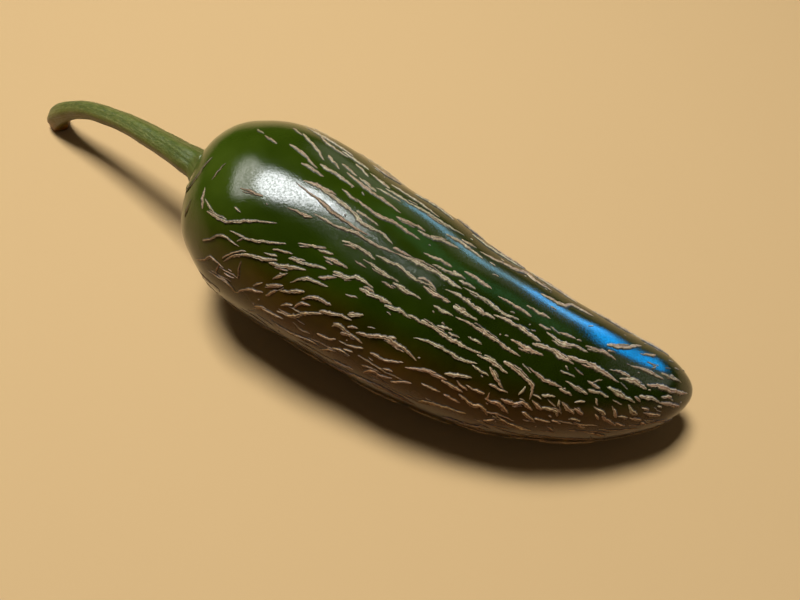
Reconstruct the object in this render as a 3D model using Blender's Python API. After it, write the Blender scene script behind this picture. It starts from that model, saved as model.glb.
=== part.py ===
"""Chilli pepper: a fat, slightly bent green pod with raised corky streaks, on its own hooked stem.

Lengths are in metres and +Z is up. The pepper is laid out with its shoulder near X = 0, its tip toward +X
and its lowest points in the plane Z = 0. At the end it is moved so that the origin is the middle of its
footprint.
"""
import math
import random

import bmesh
import bpy
import numpy as np

MM = 0.001

# Pod: the outline that is turned round the middle line, as (distance along, radius)
POD_OUTLINE = [(x * MM, r * MM) for x, r in (
    (3.1, 0.0), (2.2, 3.4), (0.0, 6.0), (1.6, 10.0), (5.1, 13.35), (12.0, 16.45), (23.1, 17.0),
    (38.8, 16.3), (53.6, 15.05), (68.4, 12.5), (80.4, 8.95), (88.2, 5.5), (92.4, 0.0))]
POD_LENGTH = POD_OUTLINE[-1][0]
POD_BEND = 8.0 * MM           # how far the middle line bows toward -Y
BEND_POWER = 1.49             # above 1, the bow is deepest past the middle
SHOULDER_HEIGHT = 23.0 * MM   # height of the middle line at the shoulder
TIP_HEIGHT = 8.9 * MM         # and at the tip
BELLY_DROP = 0.6 * MM         # the pod is set this much lower, and pressed flat where it meets the surface
LOBES = 3                     # faint swellings round the pod
LOBE_HEIGHT = 0.22 * MM
LOBE_PHASE = 0.6
POD_RINGS = 46
POD_SECTORS = 46
TURN_WEIGHT = 0.7             # how much closer the rings lie where the outline turns

# Corky streaks
STREAK_SPREAD = 1.15          # width here against the width in a streak's row
STREAK_HEIGHT = 0.36 * MM
STREAK_SHOULDER = 0.82        # height and width beside a streak's middle, as a share of the middle's
STREAK_ROOT = 0.7 * MM        # how deep a streak's root is sunk into the flesh
STREAK_SINK = 0.06 * MM       # and how deep its side edges are
STREAK_TIP_SINK = 0.12 * MM   # and its two tips
STREAK_STATION = 4.2 * MM     # about this far between a streak's cross-sections
STREAK_WANDER = 0.12          # sideways, as a share of the width
STREAK_CLEARANCE = 1.0 * MM   # streaks keep this far above the surface that the pod rests on
HIDDEN_LANES = 13             # rows of streaks under the belly and on the far side
HIDDEN_FROM = 118.0           # degrees round from the top, toward -Y and on under the belly
HIDDEN_TO = 322.0
SEED = 31
DEGREE = 0.27 * MM            # about the width of one degree on the skin
DEGREES_ON = 1.5              # every streak of the rows below lies this much further round

# The streaks on the top and the near flank. Each row is a streak's width in mm, then the places that it runs
# through: percent of the pod's length, degrees round from the top toward -Y
STREAKS = (
    (0.8, 16.5, -39, 19.5, -30, 23.7, -29.5), (0.8, 22.5, -32, 27.8, -31), (0.8, 29, -28, 33, -25.5),
    (0.9, 15.5, -26, 18.8, -20, 21.5, -15), (0.8, 21.7, -19.6, 24.5, -15.3), (0.8, 28.4, -18, 31.8, -16),
    (0.8, 26.3, -16, 30, -14, 37.4, -13.3), (0.9, 22, -10.5, 28.5, -10),
    (1.1, 15.5, -12, 18.7, -10, 21.7, -7), (0.9, 19.5, -4.5, 23.5, -4.5),
    (0.9, 30.7, -4, 34, -3, 38, -5.3, 42.6, -6), (1.1, 21.8, 4, 24, 2.5, 27.2, 0.8),
    (1.1, 25.5, 3, 30, 3, 33, 5, 35.2, 5.4, 37.4, 4, 39.5, 5.5),
    (0.9, 21, 7.5, 25, 8.5, 29, 10, 33, 10, 35.5, 9.3),
    (0.9, 26.7, 16, 30.3, 15, 33.5, 12.5, 38.5, 11, 41.3, 9), (0.8, 22.4, 21, 26.3, 18.5),
    (0.9, 33, 19.5, 35.2, 17.8, 38.6, 18.4), (0.8, 13.4, 25.5, 17.3, 23), (0.8, 27.1, 33.5, 31, 28),
    (0.9, 31.8, 32, 35.7, 30.5), (0.9, 34.5, 36, 37, 34.3, 38.1, 32, 40.8, 31.9), (1.0, 6.3, 37.5, 7.8, 48.5),
    (1.1, 9.4, 48, 11.5, 46.7, 14.3, 45, 17, 39, 19.5, 35, 21.8, 31.2),
    (0.8, 15.5, 48.5, 19.9, 46, 21.7, 43, 24.9, 38),
    (1.1, 16.2, 68, 18, 59.5, 20.2, 55, 22.4, 53, 24.9, 48.5),
    (0.8, 10.8, 65, 12.6, 59, 14.4, 53.5, 17.7, 53.7), (1.0, 24.2, 52, 27.1, 48.5, 30, 44),
    (0.8, 26.9, 43.5, 30, 40.5, 32.8, 37.4), (0.8, 29, 54.5, 30.7, 48.5, 34.5, 45),
    (0.9, 32.1, 59, 33.6, 54.7, 36.4, 52.9), (0.9, 25.3, 66.5, 27.8, 59.7), (1.0, 28.1, 62.7, 31.6, 55.3),
    (0.9, 28.9, 76.3, 31.8, 72.6, 33.9, 65, 36.1, 60), (1.0, 10, 84.4, 12, 77.6, 13.7, 71.4, 16.2, 72.6),
    (1.0, 20.2, 84.4, 22.4, 75.7, 24.9, 71.4), (0.9, 13.4, 84.4, 15.2, 83, 18, 82.5, 19.7, 85),
    (0.9, 24.2, 87.5, 26, 82.5, 30, 79.5), (0.8, 28, 87, 31, 88, 35.7, 84.5, 37.4, 84.4),
    (0.9, 37.7, -9.5, 41, -12.2, 42.5, -13), (0.9, 41.9, -10.6, 44.2, -12, 46.4, -15.3, 48.9, -17),
    (0.8, 37.7, -24, 40.6, -26.5, 44, -27.7, 48.2, -32), (0.8, 46, -21.5, 49.7, -23, 53.3, -21),
    (0.9, 52.7, -26.5, 56.5, -27.7, 59.8, -30, 62, -34, 64.5, -31, 67.7, -31.4), (0.7, 33, -31, 42.8, -31),
    (1.0, 41.3, 8.8, 43.9, 7.5, 47.5, 6.3, 52.7, 7.2), (0.8, 44.9, -0.5, 47.5, -1.7, 49.6, -2),
    (0.8, 47.1, 3, 48.9, 2, 51.1, 1.7), (0.9, 52.2, -3.6, 54.7, -3.2, 57, -2.3),
    (1.0, 53.3, 6, 56.1, 5.7, 60.5, 8.2, 63.2, 7.5), (0.8, 59, 0.1, 61.9, 0.1, 65, 1.7),
    (1.0, 51, 12.2, 53.3, 11.2, 55.4, 12.9, 59.6, 13.7),
    (1.0, 59.6, 11.9, 61.9, 10.9, 64.8, 12.5, 67.7, 14.6),
    (1.0, 38.8, 16, 42.4, 14.6, 45.3, 15.6, 47.5, 15.3), (1.0, 47.8, 16.8, 49.6, 17.8, 52.2, 17.4),
    (0.9, 53.4, 18.4, 57.2, 19.3), (0.9, 37.5, 21.8, 40.2, 22.1, 43.7, 22), (0.9, 43.5, 24, 48, 24),
    (1.0, 54.5, 23.2, 57.9, 23.2, 60.5, 24.8, 65.5, 28.5), (1.0, 63.7, 21.1, 66.2, 22.4, 68.8, 23),
    (0.8, 64.1, -4, 68.2, -3.2), (1.1, 39.5, 36, 42, 35.5, 44.6, 34.7),
    (1.0, 44.2, 36.8, 46.7, 35.5, 48.2, 36), (1.0, 50.2, 34, 53.2, 35, 56.9, 36.4, 60, 36.2),
    (0.9, 60, 37.7, 62.6, 38.7, 64.8, 41.4), (0.9, 50.5, 44.8, 53.2, 42.6, 57.6, 44.2, 60.1, 43),
    (0.8, 62.4, 42.4, 63.7, 47.3, 65.2, 52), (1.0, 64, 35.6, 66.2, 38, 67.8, 41, 69.3, 46, 69.6, 54),
    (1.0, 35.6, 59.7, 37.7, 56.6, 40.4, 54.5),
    (1.1, 42.4, 59.7, 44.6, 56.6, 46.4, 53.5, 48.9, 53.5, 50.7, 54.7, 52, 56.6),
    (1.0, 51.4, 64, 53.2, 61.5, 54.7, 60.3, 57.2, 60.3), (0.9, 57, 62, 60.1, 64.6),
    (0.8, 45.8, 67, 47.8, 66.5, 50.4, 62.4), (0.9, 57, 56.6, 58.3, 54.7, 60.3, 52.9),
    (1.0, 63.9, 59, 64.2, 64, 66.2, 65.2, 67.5, 69.5), (0.9, 60.2, 67.7, 62.6, 72, 63.5, 70.2, 65, 76.4),
    (0.8, 37.9, 87.5, 39.1, 83.1, 40.4, 80.9), (1.0, 46, 84.4, 46.9, 80, 48.9, 78.8, 50, 77),
    (0.9, 50.4, 79.4, 51.8, 75.7, 52.9, 73.9), (1.0, 55.4, 87.5, 56.5, 84.4, 59, 83, 62, 82),
    (0.9, 66, 73.3, 67.8, 78.2, 69.3, 80.7, 71.8, 83), (0.9, 40.2, 99, 45.3, 93, 49.3, 90.6, 54, 93),
    (0.9, 66, -19.7, 70.5, -21, 72.5, -27, 76.8, -27),
    (1.1, 79.7, -2, 81.9, -4.2, 83.7, -8, 85.2, -12.8, 87, -19), (1.0, 75.8, 6.3, 78.7, 5.7, 81.2, 8.4),
    (0.9, 68.7, 7.5, 71.1, 10.6, 73.3, 9.4, 75.8, 10.3), (1.1, 67.1, 18, 69.3, 17.4, 71.4, 19.3, 74, 21.8),
    (1.2, 73.1, 17.8, 77.9, 19.3, 80.1, 23, 82.3, 26.7), (1.2, 82.8, 23.6, 85.5, 24.2, 87.7, 29.2),
    (1.2, 88.1, 24.8, 91.3, 25.5, 93.5, 29.2, 97, 32.3), (1.0, 84.6, 9.4, 87, 10, 89.1, 11.9, 90.9, 15.6),
    (0.9, 90.9, 8.8, 92.7, 10.6, 94.9, 13.7), (1.0, 67.7, 33.7, 70, 37.4, 73.3, 40.5),
    (1.0, 74, 35.6, 75.8, 38, 77.6, 41.7), (1.2, 81, 33.7, 83, 36.8, 84.8, 41, 86.1, 44.8),
    (1.2, 87, 37.7, 89.1, 40, 90.6, 43.6), (1.2, 90.9, 45.5, 93.1, 48.5, 94.9, 54, 95.5, 58),
    (1.0, 74.5, 52, 75.8, 56.6, 76.7, 59.7), (1.0, 79.7, 52.2, 80.8, 56, 81.7, 59),
    (0.9, 82.5, 50.4, 83, 54.7, 83.9, 62), (1.0, 85.3, 48.5, 85.9, 53.5, 87.3, 59.7),
    (1.0, 88.6, 58.4, 90, 61, 91.7, 64), (1.0, 70.2, 55.3, 71.8, 60.3),
    (1.0, 66, 60.3, 67.8, 61, 68.9, 59, 70.5, 62.4), (1.0, 81.6, 61.5, 83, 67, 84.3, 72.6),
    (0.8, 80.5, 82, 82.6, 85.6, 83.7, 89))

# Stem: the places that its middle line runs through, from the shoulder's dimple to its foot
STEM_ROUTE = [(x * MM, y * MM, z * MM) for x, y, z in (
    (3.1, 0.0, 22.3), (-2.9, 2.2, 22.0), (-5.8, 3.2, 21.5), (-9.9, 4.9, 20.5), (-15.8, 7.1, 19.1),
    (-21.7, 9.2, 17.6), (-27.9, 11.1, 15.6), (-34.3, 12.9, 13.1), (-39.4, 14.0, 10.2), (-43.0, 14.7, 7.5),
    (-45.5, 15.4, 4.9), (-47.2, 16.1, 2.4), (-48.0, 16.9, 0.0))]
STEM_RADII = [(d * MM, r * MM) for d, r in (
    (0.0, 2.75), (5.0, 2.75), (9.5, 2.68), (14.0, 2.42), (20.5, 2.14), (27.0, 1.95), (41.0, 1.74),
    (47.0, 1.86), (52.0, 2.02), (58.0, 2.12))]
STEM_START = 4.9 * MM                # where the stalk begins, along its middle line
STEM_FLARE = 0.4 * MM                # it widens by this much into the calyx
STEM_FLARE_REACH = 0.9 * MM
STEM_RIBS = 5
STEM_RIB_HEIGHT = 0.05               # as a share of the stem's radius
STEM_RINGS = 40
STEM_SECTORS = 30

# Calyx: the cap that the stem flares into, lying in the dimple
CALYX_GAP = 0.4 * MM
CALYX_RADIUS = 4.9 * MM
CALYX_TEETH = 5
CALYX_TOOTH = 0.7 * MM
CALYX_THICKNESS = 0.9 * MM
CALYX_EDGE = 0.45 * MM


def remove_all():
    """Empty the scene."""
    for old in list(bpy.data.objects):
        bpy.data.objects.remove(old, do_unlink=True)


def smooth_curve(points, before, after, samples=600):
    """A smooth curve through the points (centripetal Catmull-Rom); before and after steer its ends."""
    knots = np.array([before, *points, after], float)
    times = np.concatenate(([0.0], np.cumsum(np.sqrt(np.linalg.norm(np.diff(knots, axis=0), axis=1)))))
    slopes = (knots[2:] - knots[:-2]) / (times[2:] - times[:-2])[:, None]
    at = np.linspace(times[1], times[-2], samples)
    span = np.clip(np.searchsorted(times, at, side="right") - 1, 1, len(knots) - 3)
    width = (times[span + 1] - times[span])[:, None]
    f = (at - times[span])[:, None] / width
    return (knots[span] * (2 * f**3 - 3 * f**2 + 1) + slopes[span - 1] * width * (f**3 - 2 * f**2 + f)
            + knots[span + 1] * (3 * f**2 - 2 * f**3) + slopes[span] * width * (f**3 - f**2))


def distances(curve):
    """Length along a curve at each of its points."""
    return np.concatenate(([0.0], np.cumsum(np.linalg.norm(np.diff(curve, axis=0), axis=1))))


def read_curve(curve, at):
    """Points of a curve at the given lengths along it."""
    along = distances(curve)
    return np.stack([np.interp(at, along, column) for column in curve.T], axis=-1)


def pod_outline():
    """The pod's outline, closed smoothly across the middle line at both ends."""
    before = (POD_OUTLINE[1][0], -POD_OUTLINE[1][1])
    after = (POD_OUTLINE[-2][0], -POD_OUTLINE[-2][1])
    return smooth_curve(POD_OUTLINE, before, after)


OUTLINE = pod_outline()
RIM = int(np.argmin(OUTLINE[:, 0]))


def pod_radius(share):
    """Radius outside the shoulder's rim, at a share of the pod's length."""
    return float(np.interp(share * POD_LENGTH, OUTLINE[RIM:, 0], OUTLINE[RIM:, 1]))


def middle_line(distance):
    """Point and direction of the pod's middle line."""
    share = min(max(distance / POD_LENGTH, 1e-6), 1.0)
    swing = math.pi * share**BEND_POWER
    slope = -POD_BEND * math.cos(swing) * math.pi * BEND_POWER * share**(BEND_POWER - 1) / POD_LENGTH
    fall = (TIP_HEIGHT - SHOULDER_HEIGHT) / POD_LENGTH
    point = np.array((distance, -POD_BEND * math.sin(swing), SHOULDER_HEIGHT + fall * distance))
    ahead = np.array((1.0, slope, fall))
    return point, ahead / np.linalg.norm(ahead)


def pod_point(distance, radius, angle):
    """A point round the middle line; the angle runs from the top toward -Y."""
    centre, ahead = middle_line(distance)
    side = np.cross((0.0, 0.0, 1.0), ahead)
    side /= np.linalg.norm(side)
    upward = np.cross(ahead, side)
    lobe = LOBE_HEIGHT * math.cos(LOBES * angle + LOBE_PHASE) * min(radius / (10 * MM), 1.0)
    point = centre + (radius + lobe) * (math.cos(angle) * upward - math.sin(angle) * side)
    point[2] -= BELLY_DROP
    return point


def skin_point(share, degrees, lift=0.0):
    """A point on the pod's skin, lifted off it."""
    return pod_point(share * POD_LENGTH, pod_radius(share) + lift, math.radians(degrees))


def ring_positions(rings):
    """Lengths along the outline, closer together where it turns."""
    along = distances(OUTLINE)
    steps = np.diff(OUTLINE, axis=0)
    heading = np.unwrap(np.arctan2(steps[:, 1], steps[:, 0]))
    turning = np.concatenate(([0.0], np.cumsum(np.abs(np.diff(heading)))))
    effort = along[1:] / along[-1] + TURN_WEIGHT * turning / turning[-1]
    return np.interp(np.linspace(effort[0], effort[-1], rings + 2)[1:-1], effort, along[1:])


def loft(name, rings, start, end):
    """A closed mesh object through rings of points, with a centre point at each end."""
    shape = bmesh.new()
    rows = [[shape.verts.new(point) for point in ring] for ring in rings]
    count = len(rows[0])
    for row, following in zip(rows, rows[1:]):
        for i in range(count):
            j = (i + 1) % count
            shape.faces.new((row[i], row[j], following[j], following[i]))
    first = shape.verts.new(start)
    last = shape.verts.new(end)
    for i in range(count):
        j = (i + 1) % count
        shape.faces.new((first, rows[0][j], rows[0][i]))
        shape.faces.new((last, rows[-1][i], rows[-1][j]))
    bmesh.ops.recalc_face_normals(shape, faces=shape.faces)
    mesh = bpy.data.meshes.new(name)
    shape.to_mesh(mesh)
    shape.free()
    thing = bpy.data.objects.new(name, mesh)
    bpy.context.scene.collection.objects.link(thing)
    return thing


def make_pod_body():
    """The fruit without its streaks, flat under the belly where it rests."""
    places = read_curve(OUTLINE, ring_positions(POD_RINGS))
    angles = np.linspace(0, 2 * math.pi, POD_SECTORS, endpoint=False)
    rings = [[pod_point(x, r, angle) for angle in angles] for x, r in places]
    start = pod_point(OUTLINE[0][0], 0.0, 0.0)
    end = pod_point(OUTLINE[-1][0], 0.0, 0.0)
    for ring in rings:
        for point in ring:
            point[2] = max(point[2], 0.0)
    return loft("pod", rings, start, end)


def course_of(places, turned=0.0):
    """The smooth course through a streak's places, measured out on the skin."""
    knots = (np.array(places, float).reshape(-1, 2) + (0.0, turned)) * (0.01 * POD_LENGTH, DEGREE)
    return smooth_curve(knots, 2 * knots[0] - knots[1], 2 * knots[-1] - knots[-2], 120)


def on_skin(place, lift=0.0):
    """The skin's point at a place along a course."""
    return skin_point(min(max(place[0] / POD_LENGTH, 0.004), 0.99), place[1] / DEGREE, lift)


def is_clear(course):
    """Whether a streak stays above the surface that the pod rests on."""
    return min(on_skin(place)[2] for place in course[::10]) > STREAK_CLEARANCE


def streak_body(collection, course, width, draws):
    """One raised spindle along the skin, its root sunk in the flesh."""
    length = distances(course)[-1]
    stations = max(3, round(length / STREAK_STATION) + 1)
    places = read_curve(course, np.linspace(0, length, stations + 2))
    points = [on_skin(place) for place in places]
    shape = bmesh.new()
    rings = []
    for i in range(1, stations + 1):
        out = on_skin(places[i], MM) - points[i]
        out /= np.linalg.norm(out)
        along = points[i + 1] - points[i - 1]
        across = np.cross(out, along / np.linalg.norm(along))
        across /= np.linalg.norm(across)
        full = STREAK_SHOULDER if i in (1, stations) else 1.0
        half = 0.5 * width * full
        height = STREAK_HEIGHT * full
        centre = points[i] + across * draws.uniform(-STREAK_WANDER, STREAK_WANDER) * width
        corners = (centre - across * half - out * STREAK_SINK, centre + out * height,
                   centre + across * half - out * STREAK_SINK, centre - out * STREAK_ROOT)
        rings.append([shape.verts.new(corner) for corner in corners])
    tips = [shape.verts.new(on_skin(place, -STREAK_TIP_SINK)) for place in (places[0], places[-1])]
    for ring, following in zip(rings, rings[1:]):
        for i in range(4):
            j = (i + 1) % 4
            shape.faces.new((ring[i], ring[j], following[j], following[i]))
    for i in range(4):
        j = (i + 1) % 4
        shape.faces.new((tips[0], rings[0][j], rings[0][i]))
        shape.faces.new((tips[1], rings[-1][i], rings[-1][j]))
    bmesh.ops.recalc_face_normals(shape, faces=shape.faces)
    mesh = bpy.data.meshes.new("streak")
    shape.to_mesh(mesh)
    shape.free()
    collection.objects.link(bpy.data.objects.new("streak", mesh))


def hidden_streaks(draws):
    """Rows for streaks in lanes under the belly and on the far side, clear of where the pod rests."""
    lane_gap = (HIDDEN_TO - HIDDEN_FROM) / (HIDDEN_LANES - 1)
    for lane in range(HIDDEN_LANES):
        percent = draws.uniform(8, 15)
        while percent < 90:
            following = min(percent + draws.uniform(5, 13), 95)
            degrees = HIDDEN_FROM + (lane + draws.uniform(-0.28, 0.28)) * lane_gap
            turned = degrees + draws.uniform(-5, 5)
            middle = 0.5 * (degrees + turned) + draws.uniform(-2, 2)
            row = (draws.uniform(0.8, 1.1), percent, degrees, 0.5 * (percent + following), middle,
                   following, turned)
            if is_clear(course_of(row[1:])):
                yield row
            percent = following + draws.uniform(1.5, 5)


def join(thing, collection):
    """Fuse a collection's objects into an object, and remove them."""
    union = thing.modifiers.new("union", "BOOLEAN")
    union.operation = "UNION"
    union.operand_type = "COLLECTION"
    union.collection = collection
    union.solver = "EXACT"
    bpy.context.view_layer.objects.active = thing
    thing.select_set(True)
    bpy.ops.object.modifier_apply(modifier=union.name)
    for old in list(collection.objects):
        bpy.data.objects.remove(old, do_unlink=True)
    bpy.data.collections.remove(collection)


def finish_surface(thing, name, colour, roughness, smooth_below):
    """One material, and smooth shading except across sharp edges."""
    material = bpy.data.materials.new(name)
    material.use_nodes = True
    shader = material.node_tree.nodes["Principled BSDF"]
    shader.inputs["Base Color"].default_value = (*colour, 1.0)
    shader.inputs["Roughness"].default_value = roughness
    shader.inputs["Metallic"].default_value = 0.0
    thing.data.materials.clear()
    thing.data.materials.append(material)
    thing.data.shade_smooth()
    thing.data.set_sharp_from_angle(angle=math.radians(smooth_below))


def make_pod():
    """The fruit with its corky streaks fused on."""
    pod = make_pod_body()
    streaks = bpy.data.collections.new("streaks")
    bpy.context.scene.collection.children.link(streaks)
    placing = random.Random(SEED)
    shaping = random.Random(SEED + 1)
    courses = [(row[0], course_of(row[1:], DEGREES_ON)) for row in STREAKS]
    courses += [(row[0], course_of(row[1:])) for row in hidden_streaks(placing)]
    for width, course in courses:
        streak_body(streaks, course, STREAK_SPREAD * width * MM, shaping)
    join(pod, streaks)
    finish_surface(pod, "pod_skin", (0.020, 0.050, 0.006), 0.22, 30)
    return pod


def stem_line():
    """The stem's middle line, starting in the shoulder's dimple."""
    route = np.array(STEM_ROUTE)
    return smooth_curve(route, 2 * route[0] - route[1], 2 * route[-1] - route[-2])


def calyx_rings(angles):
    """Rings of the cap from its underside, out round its toothed edge and in to the stem."""
    dimple = OUTLINE[:RIM + 1]
    rings = []
    teeth = 0.5 + 0.5 * np.cos(CALYX_TEETH * angles)

    def ring(radii, lift):
        row = []
        for angle, radius in zip(angles, radii):
            along = float(np.interp(radius, dimple[:, 1], dimple[:, 0])) - lift
            row.append(pod_point(along, radius, angle))
        rings.append(row)

    edge = CALYX_RADIUS + CALYX_TOOTH * teeth
    for share in (0.45, 0.8, 1.0):
        ring(edge * share, CALYX_GAP * 1.15)
    ring(edge * 0.985, CALYX_GAP * 1.15 + CALYX_EDGE)
    ring(edge * 0.82, CALYX_GAP + CALYX_THICKNESS)
    return rings


def make_stem():
    """The stalk and its calyx cap, one closed body."""
    angles = np.linspace(0, 2 * math.pi, STEM_SECTORS, endpoint=False)
    line = stem_line()
    along = distances(line)
    rings = calyx_rings(angles)
    reach = np.linspace(STEM_START, along[-1], STEM_RINGS)
    centres = read_curve(line, reach)
    ribs = 1 + STEM_RIB_HEIGHT * np.cos(STEM_RIBS * angles)
    for place, centre in zip(reach, centres):
        ahead = read_curve(line, [place + 0.05 * MM])[0] - read_curve(line, [place - 0.05 * MM])[0]
        side = np.cross((0.0, 0.0, 1.0), ahead)
        side /= np.linalg.norm(side)
        upward = np.cross(ahead, side)
        upward /= np.linalg.norm(upward)
        flare = STEM_FLARE * math.exp(-(place - STEM_START) / STEM_FLARE_REACH)
        radius = np.interp(place, *zip(*STEM_RADII)) + flare
        ring = [centre + radius * rib * (math.cos(angle) * upward + math.sin(angle) * side)
                for angle, rib in zip(angles, ribs)]
        rings.append(ring)
    for point in rings[-1]:
        point[2] = 0.0
    foot = pod_point(OUTLINE[0][0] - 1.15 * CALYX_GAP, 0.0, 0.0)
    stem = loft("stem", rings, foot, line[-1])
    finish_surface(stem, "stem_green", (0.10, 0.14, 0.025), 0.45, 50)
    return stem


def place_at_origin(things):
    """Move everything so that the origin is the middle of the footprint."""
    corners = np.array([vertex.co for thing in things for vertex in thing.data.vertices])
    low = corners.min(axis=0)
    high = corners.max(axis=0)
    for thing in things:
        thing.location = (-(low[0] + high[0]) / 2, -(low[1] + high[1]) / 2, -low[2])


remove_all()
place_at_origin((make_pod(), make_stem()))
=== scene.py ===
"""Chilli pepper: the looks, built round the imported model.

The pod's skin, its corky streaks and its stem are modelled finely here and stand for the CAD nodes. Lengths
are in metres, +X runs from the stem to the tip and +Z is up.
"""
import math
import random

import bmesh
import bpy
import numpy as np
from mathutils import Matrix, Vector


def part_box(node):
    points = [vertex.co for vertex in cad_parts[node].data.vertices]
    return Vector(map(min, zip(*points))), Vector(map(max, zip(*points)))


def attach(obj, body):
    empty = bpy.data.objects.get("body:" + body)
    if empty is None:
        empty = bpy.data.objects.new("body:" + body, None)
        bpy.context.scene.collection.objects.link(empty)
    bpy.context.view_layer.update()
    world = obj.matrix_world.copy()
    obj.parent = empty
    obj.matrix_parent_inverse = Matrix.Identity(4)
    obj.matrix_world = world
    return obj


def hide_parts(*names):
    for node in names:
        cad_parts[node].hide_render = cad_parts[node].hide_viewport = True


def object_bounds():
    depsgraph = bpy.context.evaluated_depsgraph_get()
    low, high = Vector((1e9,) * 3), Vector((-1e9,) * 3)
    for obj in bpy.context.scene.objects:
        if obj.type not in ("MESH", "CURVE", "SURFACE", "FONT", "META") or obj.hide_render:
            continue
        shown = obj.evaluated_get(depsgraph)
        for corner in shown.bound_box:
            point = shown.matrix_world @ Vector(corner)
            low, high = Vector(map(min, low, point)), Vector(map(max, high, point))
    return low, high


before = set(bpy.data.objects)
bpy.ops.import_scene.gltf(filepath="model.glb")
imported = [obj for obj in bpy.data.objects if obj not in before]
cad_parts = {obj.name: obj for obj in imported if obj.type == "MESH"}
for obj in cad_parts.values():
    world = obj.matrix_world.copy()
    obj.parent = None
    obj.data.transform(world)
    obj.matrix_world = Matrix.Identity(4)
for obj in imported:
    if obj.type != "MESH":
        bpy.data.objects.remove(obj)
cad_low, cad_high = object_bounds()

MM = 0.001

# The pod's form, as in the CAD model
POD_OUTLINE = [(x * MM, r * MM) for x, r in (
    (3.1, 0.0), (2.2, 3.4), (0.0, 6.0), (1.6, 10.0), (5.1, 13.35), (12.0, 16.45), (23.1, 17.0),
    (38.8, 16.3), (53.6, 15.05), (68.4, 12.5), (80.4, 8.95), (88.2, 5.5), (92.4, 0.0))]
POD_LENGTH = POD_OUTLINE[-1][0]
POD_BEND = 8.0 * MM
BEND_POWER = 1.49
SHOULDER_HEIGHT = 23.0 * MM
TIP_HEIGHT = 8.9 * MM
BELLY_DROP = 0.6 * MM
LOBES = 3
LOBE_HEIGHT = 0.22 * MM
LOBE_PHASE = 0.6

# These lengths start from the shoulder, at X = 0. The frame's origin is the middle of the footprint
LAYOUT_TO_FRAME = np.array((-21.278, 2.208, 0.0)) * MM

# The skin's mesh
SKIN_RINGS = 230
SKIN_SECTORS = 210
TURN_WEIGHT = 0.4              # how much closer the rings lie where the outline turns
LUMP_HEIGHT = 0.07 * MM
LUMP_WAVES = 5

# How brown the skin is on the flank, partly its own brown and partly a painted warm reflection, by degrees
# round and by share of the length
FLANK_BROWN_AND_PAINTED_LIGHT = ((0, 0.0), (42, 0.0), (62, 0.7), (88, 1.0), (120, 0.7), (180, 0.45), (250, 0.5), (300, 0.35),
              (335, 0.0), (360, 0.0))
FLANK_REACH = ((0.0, 0.35), (0.12, 0.6), (0.3, 1.0), (1.0, 1.0))

# How much fresher and lighter the green is at the shoulder, partly painted light, and how deep it is toward
# the tip, by share of the length
SHOULDER_FRESH_AND_LIT = ((0.0, 1.0), (0.05, 0.9), (0.14, 0.4), (0.30, 0.0))
TIP_DEEP = ((0.0, 0.0), (0.30, 0.0), (0.65, 1.0), (1.0, 1.0))

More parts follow.
